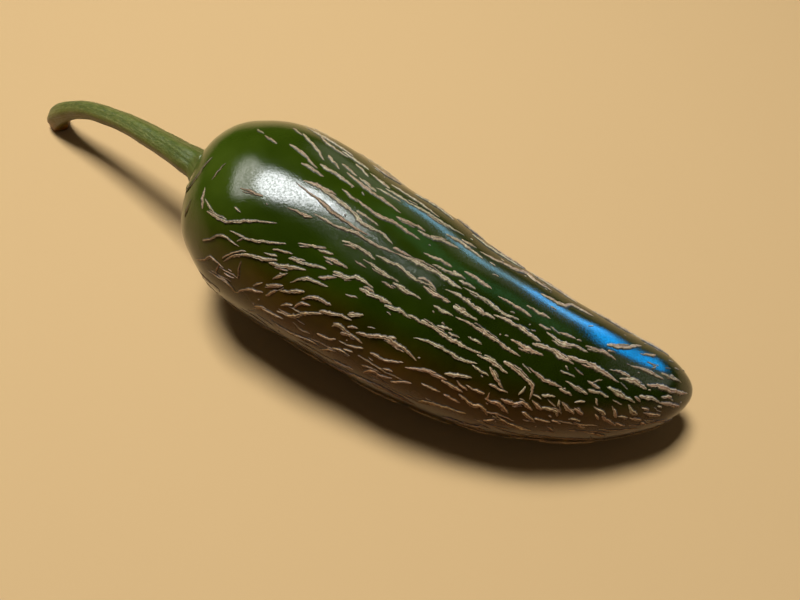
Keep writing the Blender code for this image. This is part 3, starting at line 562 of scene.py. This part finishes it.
def streak_body(course, width, kind, step, draws):
    """A raised lip along a course, with ragged edges and its root in the flesh, and its points' values."""
    tallness, split = kind
    course, line, across, out, reach = stations(course, step)
    count = len(line)
    f = np.linspace(0, 1, count)
    places = f * reach
    wander = wave(draws, places, (5.2, 2.3, 1.0), (0.075 * MM, 0.05 * MM, 0.03 * MM))
    line = line + across * (wander * np.sqrt(np.sin(math.pi * f)))[:, None]
    lean = f**(math.log(0.5) / math.log(draws.uniform(0.34, 0.66)))
    taper = np.clip(np.sin(math.pi * lean), 0, 1)
    swell = np.clip(1 + wave(draws, places, (5.5, 2.6), (0.16, 0.13)), 0.4, 1.5)
    halves = [0.5 * width * taper**0.45 * swell
              * np.clip(1 + wave(draws, places, (1.4, 0.7, 0.42), (0.14, 0.16, 0.14)), 0.35, 1.6)
              for _ in range(2)]
    rise = STREAK_HEIGHT * tallness * taper**0.4
    rise *= np.clip(1 + wave(draws, places, (1.7, 0.8), (0.16, 0.12)), 0.4, 1.4)
    groove = split * np.clip(0.75 + wave(draws, places, (3.4, 1.3, 0.6), (0.4, 0.3, 0.2)), 0, 1)
    groove *= taper**0.5
    shift = 0.28 * np.clip(wave(draws, places, (3.1, 1.2), (0.7, 0.4)), -1, 1)
    rows, fissure, rim = [], [], []
    for u, light in zip(PROFILE, PROFILE_RIM):
        half = halves[0] if u < 0 else halves[1]
        inside = 1 - abs(u)
        cut = groove * max(0.0, 1 - 1.7 * abs(u))
        if inside > 0:
            tall = (1 - abs(u)**3.2) * rise * (1 - FISSURE_DEPTH * cut)
        else:
            tall = np.full(count, MARGIN_SUNK if abs(u) > 1.4 else MARGIN_HEIGHT)
        margin = max(-inside, 0.0) / 0.35 * STREAK_MARGIN * taper**0.3
        sideways = np.clip(u, -1, 1) * half + math.copysign(1.0, u) * margin
        sideways += max(inside, 0) * shift * halves[0]
        rows.append(line + across * sideways[:, None] + out * tall[:, None])
        fissure.append(cut)
        rim.append(np.full(count, float(light)))
    rows.append(line - out * STREAK_ROOT)
    fissure.append(np.zeros(count))
    rim.append(np.zeros(count))
    edge = np.append(np.minimum(np.abs(PROFILE), 1.0)**8, 1.0)
    values = {"fissure": np.stack(fissure, axis=1).reshape(-1), "rim": np.stack(rim, axis=1).reshape(-1),
              "edge": np.tile(edge, count),
              "low": np.repeat(read_table(course[:, 1] / DEGREE, FLANK_BROWN_AND_PAINTED_LIGHT), RING),
              "front": np.repeat(read_table(course[:, 0] / POD_LENGTH, CORK_FRONT), RING)}
    for title, held in values.items():
        values[title] = np.append(held, (1.0, 1.0) if title == "edge" else (0.0, 0.0))
    tips = line[[0, -1]] - out[[0, -1]] * TIP_SUNK
    return np.concatenate((np.stack(rows, axis=1).reshape(-1, 3), tips)), values, count


def companion(course, width, draws):
    """The course of a thin lip that runs beside part of a bold streak."""
    start = draws.uniform(0.0, 0.45)
    end = start + draws.uniform(0.3, 0.5)
    part = read_curve(course, np.linspace(start, end, 60) * distances(course)[-1])
    heading = unit(np.gradient(part, axis=0))
    side = draws.choice((-1, 1)) * width * draws.uniform(0.6, 0.95)
    return part + np.stack((-heading[:, 1], heading[:, 0]), axis=-1) * side


def streak_mesh(name, bodies, draws):
    """One mesh of many streak bodies, each with a tone of its own."""
    points, faces, tone = [], [], []
    first = 0
    for body, _, count in bodies:
        points.append(body)
        faces.extend(tube_faces(count, RING, first))
        tone.append(np.full(len(body), draws.random()))
        first += len(body)
    values = {title: np.concatenate([held[title] for _, held, _ in bodies]) for title in bodies[0][1]}
    return mesh_object(name, np.concatenate(points), faces, {"tone": np.concatenate(tone), **values})


def make_streaks():
    """All corky streaks as closed lips standing on the skin: bold, fine and hidden ones, and flecks."""
    placing = random.Random(SEED)
    shaping = random.Random(SEED + 1)
    pieces = []
    for name, rows, turned, step in (("cork_bold", STREAKS, DEGREES_ON, STREAK_STEP),
                                     ("cork_fine", FINE_STREAKS, DEGREES_ON, STREAK_STEP),
                                     ("cork_hidden", hidden_streaks(placing), 0.0, HIDDEN_STEP)):
        bodies = []
        for row in rows:
            course = course_of(row[1:], turned, STREAK_LONGER)
            width = row[0] * MM * shaping.uniform(*LIP_SHARES) * read_table(row[1], SHOULDER_WIDTHS)
            bold = row[0] >= BOLD_FROM
            bodies.append(streak_body(course, width, BOLD if bold else FINE, step, shaping))
            if bold and shaping.random() < COMPANIONS:
                beside = companion(course, width, shaping)
                thin = width * shaping.uniform(0.3, 0.5)
                bodies.append(streak_body(beside, thin, COMPANION, step, shaping))
        pieces.append(streak_mesh(name, bodies, shaping))
    bodies = [streak_body(course_of(row[1:]), row[0] * MM, FLECK, STREAK_STEP, shaping)
              for row in (*flecks(placing, FLECKS), *flank_lines(placing, FLANK_LINES))]
    pieces.append(streak_mesh("cork_flecks", bodies, shaping))
    return pieces


# ---------------------------------------------------------------- stem
def stem_line():
    """The stem's middle line, starting in the shoulder's dimple."""
    route = np.array(STEM_ROUTE)
    return smooth_curve(route, 2 * route[0] - route[1], 2 * route[-1] - route[-2])


def calyx_rings(angles):
    """Rings of the cap from its underside, out round its toothed edge and in to the stem."""
    dimple = OUTLINE[:RIM + 1]
    teeth = (0.5 + 0.5 * np.cos(CALYX_TEETH * angles + 0.35 * np.sin(2 * angles)))**1.6
    edge = CALYX_RADIUS + CALYX_TOOTH * teeth
    rings = [(share, 0.0) for share in CALYX_UNDER]
    rings += [(1.0, 0.5 * CALYX_EDGE), (CALYX_BEVEL, CALYX_EDGE)]
    for share in CALYX_OVER:
        blend = (CALYX_BEVEL - share) / (CALYX_BEVEL - CALYX_OVER[-1])
        rings.append((share, CALYX_EDGE + (CALYX_THICKNESS - CALYX_EDGE) * blend))
    rows = []
    for share, lift in rings:
        radii = edge * share
        along = np.interp(radii, dimple[:, 1], dimple[:, 0]) - (CALYX_LIFT + lift)
        rows.append(pod_points(along, radii, angles))
    return rows


def make_stem():
    """The stalk and its calyx cap, one closed fine mesh."""
    angles = np.linspace(0, 2 * math.pi, STEM_SECTORS, endpoint=False)
    line = stem_line()
    along = distances(line)
    rows = calyx_rings(angles)
    cap_rows = len(rows)
    reach = np.linspace(STEM_START, along[-1], STEM_RINGS)
    centres = read_curve(line, reach)
    ahead = unit(read_curve(line, reach + 0.05 * MM) - read_curve(line, reach - 0.05 * MM))
    sideways = unit(np.cross((0.0, 0.0, 1.0), ahead))
    upward = np.cross(ahead, sideways)
    radii = read_table(reach, STEM_RADII) + STEM_FLARE * np.exp(-(reach - STEM_START) / STEM_FLARE_REACH)
    ribs = 1 + STEM_RIB_HEIGHT * np.cos(STEM_RIBS * angles)
    for place, centre, up, side, radius in zip(reach, centres, upward, sideways, radii):
        grain = sum(math.sin(n * 1.7) * np.sin(n * angles + n * n + place / MM * (0.05 + 0.01 * n))
                    for n in STEM_GRAIN)
        knobs = sum(height * math.sin(place / MM * rate + phase) for height, rate, phase in STEM_KNOBS)
        ring = (radius * (ribs + STEM_GRAIN_HEIGHT * grain + knobs))[:, None]
        rows.append(centre + ring * (np.cos(angles)[:, None] * up + np.sin(angles)[:, None] * side))
    for row in rows:
        row[:, 2] = np.maximum(row[:, 2], 0.0)
    cut = rows[-1]
    cut[:, 2] = 0.0
    middle = cut.mean(axis=0)
    for share, depth in CUT_HOLLOW:
        inner = middle + (cut - middle) * share
        inner[:, 2] = depth * MM
        rows.append(inner)
    foot = pod_points(OUTLINE[:1, 0] - CALYX_LIFT, np.zeros(1), np.zeros(1))
    last = middle + (0.0, 0.0, CUT_MIDDLE)
    points = np.concatenate((*rows, foot, last[None]))
    total = len(rows)
    length = np.concatenate((np.zeros(cap_rows), reach - STEM_START, np.full(len(CUT_HOLLOW), along[-1])))
    # The cut's brown reaches far up: partly the dry cut, partly a painted warm bounce
    cut_brown_and_bounce = np.clip((reach - reach[-1] + CUT_BROWN_AND_BOUNCE_REACH) / CUT_BROWN_AND_BOUNCE_BLEND, 0, 1)**1.3
    brown = np.concatenate((np.zeros(cap_rows), cut_brown_and_bounce, np.ones(len(CUT_HOLLOW))))
    round_it = np.append(np.tile(angles, total), (0.0, 0.0))      # the angle at each point
    values = {"lengthwise": np.append(np.repeat(length, STEM_SECTORS), (0.0, along[-1])) / MM,
              "round_cos": np.cos(round_it), "round_sin": np.sin(round_it),
              "cut": np.append(np.repeat(brown, STEM_SECTORS), (0.0, 1.0))}
    return mesh_object("stem_stalk", points, tube_faces(total, STEM_SECTORS, 0), values)


# ---------------------------------------------------------------- materials
class Nodes:
    """A short way to write a node tree."""

    def __init__(self, name):
        self.material = bpy.data.materials.new(name)
        self.material.use_nodes = True
        self.tree = self.material.node_tree
        self.shader = self.tree.nodes["Principled BSDF"]

    def add(self, kind, settings=None, **inputs):
        """A new node with its settings and inputs."""
        node = self.tree.nodes.new(kind)
        for key, value in (settings or {}).items():
            setattr(node, key, value)
        for key, value in inputs.items():
            self.put(node, key, value)
        return node

    def put(self, node, socket, value):
        """Link a socket to an input, or set the input's value."""
        target = node.inputs[socket]
        if isinstance(value, bpy.types.NodeSocket):
            self.tree.links.new(value, target)
        else:
            target.default_value = value

    def value(self, name):
        """A float attribute of the mesh."""
        return self.add("ShaderNodeAttribute", {"attribute_name": name}).outputs["Fac"]

    def noise(self, scale, detail, roughness, vector=None):
        """Noise over the object's own space, or over another vector."""
        node = self.add("ShaderNodeTexNoise", Scale=scale, Detail=detail, Roughness=roughness)
        if vector is None:
            vector = self.add("ShaderNodeTexCoord").outputs["Object"]
        self.tree.links.new(vector, node.inputs["Vector"])
        return node.outputs["Fac"]

    def ramp(self, factor, *stops):
        """A ramp through stops of a position and a colour."""
        node = self.add("ShaderNodeValToRGB")
        self.tree.links.new(factor, node.inputs["Fac"])
        ramp = node.color_ramp
        while len(ramp.elements) < len(stops):
            ramp.elements.new(0.5)
        for element, (position, colour) in zip(ramp.elements, stops):
            element.position = position
            element.color = (*colour, 1.0)
        return node.outputs["Color"]

    def greys(self, factor, *stops):
        """A ramp of plain values."""
        return self.ramp(factor, *((position, (value, value, value)) for position, value in stops))

    def mix(self, factor, first, second, blend="MIX"):
        """Two colours mixed or blended."""
        node = self.add("ShaderNodeMix", {"data_type": "RGBA", "blend_type": blend})
        for name, kind, value in (("Factor", "VALUE", factor), ("A", "RGBA", first), ("B", "RGBA", second)):
            target = [s for s in node.inputs if s.name == name and s.type == kind][0]
            if isinstance(value, bpy.types.NodeSocket):
                self.tree.links.new(value, target)
            else:
                target.default_value = (*value, 1.0) if kind == "RGBA" else value
        return [s for s in node.outputs if s.type == "RGBA"][0]

    def math(self, operation, *values):
        """A sum, a product and the like."""
        node = self.add("ShaderNodeMath", {"operation": operation})
        for place, value in enumerate(values):
            self.put(node, place, value)
        return node.outputs[0]

    def bump(self, height, distance, normal=None):
        """A bumped normal, over another one if given."""
        node = self.add("ShaderNodeBump", Height=height, Distance=distance)
        if normal is not None:
            self.put(node, "Normal", normal)
        return node.outputs["Normal"]

    def finish(self, thing, **inputs):
        """Set the shader's inputs and put the material on an object."""
        for key, value in inputs.items():
            self.put(self.shader, key.replace("_", " "), value)
        thing.data.materials.clear()
        thing.data.materials.append(self.material)


def dress_skin(skin):
    """Dark green waxy skin with a fine pebbled gloss, lighter at the shoulder, partly painted light, and
    browner on the flank, partly a painted warm reflection.
    """
    n = Nodes("pod_skin")
    clouds = n.noise(75.0, 3.0, 0.55)
    specks = n.noise(900.0, 2.0, 0.6)
    green = n.ramp(clouds, (0.30, (0.0080, 0.0160, 0.0003)), (0.52, (0.0120, 0.0235, 0.0005)),
                   (0.75, (0.0210, 0.0380, 0.0010)))
    deep = n.ramp(clouds, (0.30, (0.0045, 0.0085, 0.0003)), (0.70, (0.0110, 0.0175, 0.0005)))
    # Lighter green at the shoulder: partly the skin's own, partly painted light
    fresh_and_lit = n.ramp(clouds, (0.30, (0.0240, 0.0430, 0.0022)), (0.70, (0.0480, 0.0760, 0.0065)))
    # Brown on the flank: partly the skin's own, partly a painted warm reflection
    brown = n.ramp(clouds, (0.30, (0.0200, 0.0065, 0.0002)), (0.70, (0.0470, 0.0135, 0.0003)))
    patches = n.greys(n.noise(160.0, 2.0, 0.5), (0.30, 0.7), (0.70, 1.0))
    colour = n.mix(n.value("deep"), n.mix(n.value("fresh_and_lit"), green, fresh_and_lit), deep)
    colour = n.mix(n.math("MULTIPLY", n.value("flank_brown_and_painted_light"), patches), colour, brown)
    colour = n.mix(n.math("MULTIPLY", specks, 0.15), colour, (0.028, 0.055, 0.002))
    # Painted reflection: the gloss on the flank is tinted orange, like a warm floor mirrored in it
    gloss_tint_with_painted_reflection = n.mix(n.value("flank_brown_and_painted_light"), (1.0, 1.0, 1.0), (1.0, 0.35, 0.03))
    pebbles = n.noise(3300.0, 3.0, 0.65)
    gloss_tint_with_painted_reflection = n.mix(1.0, gloss_tint_with_painted_reflection, n.greys(pebbles, (0.43, 0.46), (0.55, 1.0)), "MULTIPLY")
    peel = n.bump(pebbles, 0.020 * MM)
    dimples = n.bump(n.noise(1000.0, 2.0, 0.5), 0.009 * MM, normal=peel)
    rough = n.greys(n.noise(300.0, 3.0, 0.6), (0.35, 0.10), (0.7, 0.14))
    n.finish(skin, Base_Color=colour, Roughness=rough, IOR=1.38, Specular_IOR_Level=0.52,
             Specular_Tint=gloss_tint_with_painted_reflection, Normal=dimples)


def dress_streaks(pieces):
    """Dry mottled cork: light rims, brown between them and dark along the edges, partly painted shadow.

    It is duller toward the shoulder and browner low on the flank, partly its own brown and partly painted
    warm light.
    """
    n = Nodes("cork")
    grain = n.noise(2700.0, 3.0, 0.7)
    broad = n.noise(1500.0, 2.0, 0.6)
    beige = n.ramp(n.value("tone"), (0.0, (0.44, 0.345, 0.205)), (0.35, (0.48, 0.40, 0.245)),
                   (0.7, (0.51, 0.455, 0.290)), (1.0, (0.47, 0.455, 0.275)))
    inside = n.ramp(n.value("tone"), (0.0, (0.280, 0.145, 0.080)), (0.5, (0.280, 0.170, 0.095)),
                    (1.0, (0.290, 0.210, 0.118)))
    speckled = n.greys(grain, (0.42, 0.1), (0.58, 1.0))
    light = n.math("ADD", n.value("rim"), broad)
    body = n.mix(n.greys(light, (0.55, 0.0), (1.0, 1.0)), inside, beige)
    mottled = n.mix(n.math("MULTIPLY", speckled, 0.62), body, (0.16, 0.090, 0.048))
    crack = n.greys(n.math("MULTIPLY", n.value("fissure"), speckled), (0.42, 0.0), (0.66, 0.9))
    cracked = n.mix(crack, mottled, (0.085, 0.032, 0.018))
    duller = n.mix(n.value("front"), cracked, (0.58, 0.58, 0.47), "MULTIPLY")
    # Painted warm light: low on the flank the cork is tinted orange, partly its own brown
    lower = n.mix(n.value("low"), duller, (0.68, 0.39, 0.14), "MULTIPLY")
    # Painted shadow: the dark line beside each lip is partly a dark cracked edge, partly shadow
    colour = n.mix(n.greys(n.value("edge"), (0.3, 0.0), (0.8, 0.96)), lower, (0.020, 0.015, 0.005))
    for piece in pieces:
        n.finish(piece, Base_Color=colour, Roughness=0.55, Specular_IOR_Level=0.3,
                 Normal=n.bump(grain, 0.09 * MM))


def dress_stem(stem):
    """Satin green stalk with pale lengthwise lines, olive below as a painted warm reflection, darker by the
    cap, and brown at the cut, partly a painted warm bounce.
    """
    n = Nodes("stem")
    stretched = n.math("MULTIPLY", n.value("lengthwise"), 0.16)
    where = n.add("ShaderNodeCombineXYZ", X=stretched, Y=n.value("round_cos"),
                  Z=n.value("round_sin")).outputs["Vector"]
    lines = n.noise(4.5, 4.0, 0.62, where)
    fine = n.noise(13.0, 3.0, 0.6, where)
    base = n.ramp(lines, (0.32, (0.036, 0.058, 0.006)), (0.50, (0.066, 0.090, 0.012)),
                  (0.66, (0.120, 0.136, 0.032)))
    lined = n.mix(n.greys(fine, (0.56, 0.0), (0.72, 0.6)), base, (0.25, 0.24, 0.12))
    # Painted reflection: the stalk's underside is tinted olive, as warm light mirrored from below
    low = n.greys(n.math("MULTIPLY_ADD", n.value("round_cos"), 0.5, 0.5), (0.45, 1.0), (0.92, 0.0))
    olive = n.mix(low, lined, (0.082, 0.066, 0.001))
    shade = n.ramp(n.math("MULTIPLY", n.value("lengthwise"), 0.025), (0.0, (0.74, 0.80, 0.70)),
                   (0.5, (1.0, 1.0, 1.0)))
    shaded = n.mix(1.0, olive, shade, "MULTIPLY")
    # Brown at the cut: partly the dry cut end, partly a painted warm bounce
    colour = n.mix(n.value("cut"), shaded, (0.210, 0.076, 0.002))
    bumps = n.bump(fine, 0.06 * MM, normal=n.bump(lines, 0.15 * MM))
    n.finish(stem, Base_Color=colour, Roughness=0.34, Specular_IOR_Level=0.26, Normal=bumps)


# ---------------------------------------------------------------- studio
def make_floor():
    """A plain pale floor."""
    corners = [(x * FLOOR_HALF, y * FLOOR_HALF, 0.0) for x, y in ((-1, -1), (1, -1), (1, 1), (-1, 1))]
    mesh = bpy.data.meshes.new("floor")
    mesh.from_pydata(corners, [], [(0, 1, 2, 3)])
    floor = bpy.data.objects.new("floor", mesh)
    floor.location.z = cad_low[2]
    bpy.context.scene.collection.objects.link(floor)
    n = Nodes("floor")
    n.finish(floor, Base_Color=(0.48, 0.340, 0.175, 1.0), Roughness=0.9, Specular_IOR_Level=0.0)


def add_light(name, place, aim, size, power, colour, only, roll=0.0, shape="RECTANGLE"):
    """An area light that looks at a point, for the gloss or the diffuse light only."""
    data = bpy.data.lights.new(name, "AREA")
    data.shape = shape
    data.size, data.size_y = size
    data.energy = power
    data.color = colour
    light = bpy.data.objects.new(name, data)
    light.location = place
    facing = (Vector(aim) - Vector(place)).to_track_quat("-Z", "Y").to_matrix()
    light.rotation_euler = (facing @ Matrix.Rotation(math.radians(roll), 3, "Z")).to_euler()
    light.visible_diffuse = only == "diffuse"
    light.visible_glossy = only == "gloss"
    bpy.context.scene.collection.objects.link(light)


def pod_middle():
    """The middle of the pod's box."""
    low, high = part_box("pod")
    return (low + high) / 2


def overhead(name, across, deep, power, colour, shape="ELLIPSE"):
    """A ceiling panel mirrored in the gloss, from its spans in metres past the pod's middle."""
    middle = pod_middle()
    centre = Vector((middle.x + sum(across) / 2, middle.y + sum(deep) / 2, CEILING))
    size = (across[1] - across[0], deep[1] - deep[0])
    add_light(name, centre, centre - Vector((0, 0, 1)), size, power, colour, "gloss", shape=shape)


def standing(name, share, heading, distance, height, size, power, colour, roll=0.0):
    """An upright panel mirrored in the gloss, so many degrees round a place on the pod's length."""
    centre = middle_line(np.array([share * POD_LENGTH]))[0][0] + LAYOUT_TO_FRAME
    turn = math.radians(heading)
    place = Vector((centre[0] + distance * math.cos(turn), centre[1] + distance * math.sin(turn), height))
    add_light(name, place, (centre[0], centre[1], height), size, power, colour, "gloss", roll)


def make_lights():
    """A soft box nearly overhead, the panels that the gloss mirrors, and a dim room."""
    middle = pod_middle()
    add_light("key", (middle.x - 0.15, middle.y + 0.075, CEILING), middle, (0.17, 0.17), 5.6,
              (1.0, 0.97, 0.92), "diffuse")
    overhead("bright_core", (-0.34, -0.035), (-0.17, 0.19), 11.5, COOL_WHITE)
    overhead("dim_side", (-0.84, -0.28), (-0.26, 0.28), 7.6, (1.0, 0.98, 0.90))
    overhead("bright_strip", (-0.065, -0.020), (0.05, 0.17), 1.3, COOL_WHITE, "RECTANGLE")
    overhead("bright_end", (-0.030, 0.010), (-0.005, 0.075), 0.75, COOL_WHITE, "RECTANGLE")
    overhead("low_glow", (-0.28, -0.03), (-0.30, -0.10), 0.19, (1.0, 0.98, 0.96))
    overhead("green_veil", (0.10, 0.50), (0.28, 0.60), 0.46, (0.25, 1.0, 0.42), "RECTANGLE")
    standing("far_veil", 0.5, 78.0, 0.64, 0.27, (0.52, 0.38), 0.52, (1.0, 0.98, 0.72))
    standing("tip_veil", 0.9, 18.0, 0.50, 0.19, (0.30, 0.16), 0.20, (1.0, 0.98, 0.80))
    standing("cool_panel", 0.8, 53.0, 0.52, 0.182, (0.31, 0.130), 2.65, (0.0, 0.38, 1.0), -25.0)
    standing("cool_bar", 0.56, 74.0, 0.50, 0.172, (0.20, 0.040), 0.34, (0.28, 0.70, 1.0))
    world = bpy.data.worlds.new("room")
    world.use_nodes = True
    background = world.node_tree.nodes["Background"]
    background.inputs["Color"].default_value = ROOM_COLOUR
    background.inputs["Strength"].default_value = ROOM_STRENGTH
    world.cycles_visibility.glossy = False
    bpy.context.scene.world = world


def make_camera():
    """The camera, looking down at the pepper from in front and a little from the tip's side."""
    back = Vector((math.sin(CAMERA_AZIMUTH) * math.cos(CAMERA_ELEVATION),
                   -math.cos(CAMERA_AZIMUTH) * math.cos(CAMERA_ELEVATION), math.sin(CAMERA_ELEVATION)))
    right = Vector((math.cos(CAMERA_AZIMUTH), math.sin(CAMERA_AZIMUTH), 0.0))
    up = back.cross(right)
    turned_right = right * math.cos(CAMERA_ROLL) + up * math.sin(CAMERA_ROLL)
    turned_up = up * math.cos(CAMERA_ROLL) - right * math.sin(CAMERA_ROLL)
    data = bpy.data.cameras.new("camera")
    data.lens = CAMERA_LENS
    data.sensor_width = CAMERA_SENSOR
    data.clip_start, data.clip_end = CAMERA_CLIP
    camera = bpy.data.objects.new("camera", data)
    turn = Matrix((turned_right, turned_up, back)).transposed()
    camera.matrix_world = Matrix.Translation(CAMERA_AIM + back * CAMERA_DISTANCE) @ turn.to_4x4()
    bpy.context.scene.collection.objects.link(camera)
    bpy.context.scene.camera = camera


# ---------------------------------------------------------------- build
pod_skin = make_skin()
cork_pieces = make_streaks()
stem_stalk = make_stem()
dress_skin(pod_skin)
dress_streaks(cork_pieces)
dress_stem(stem_stalk)
for piece, slot in ((pod_skin, "skin"), (stem_stalk, "stem"), *((cork, "skin") for cork in cork_pieces)):
    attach(piece, "root")
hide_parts("pod")
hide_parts("stem")

make_floor()
make_lights()
make_camera()
bpy.context.scene.view_settings.view_transform = "Standard"
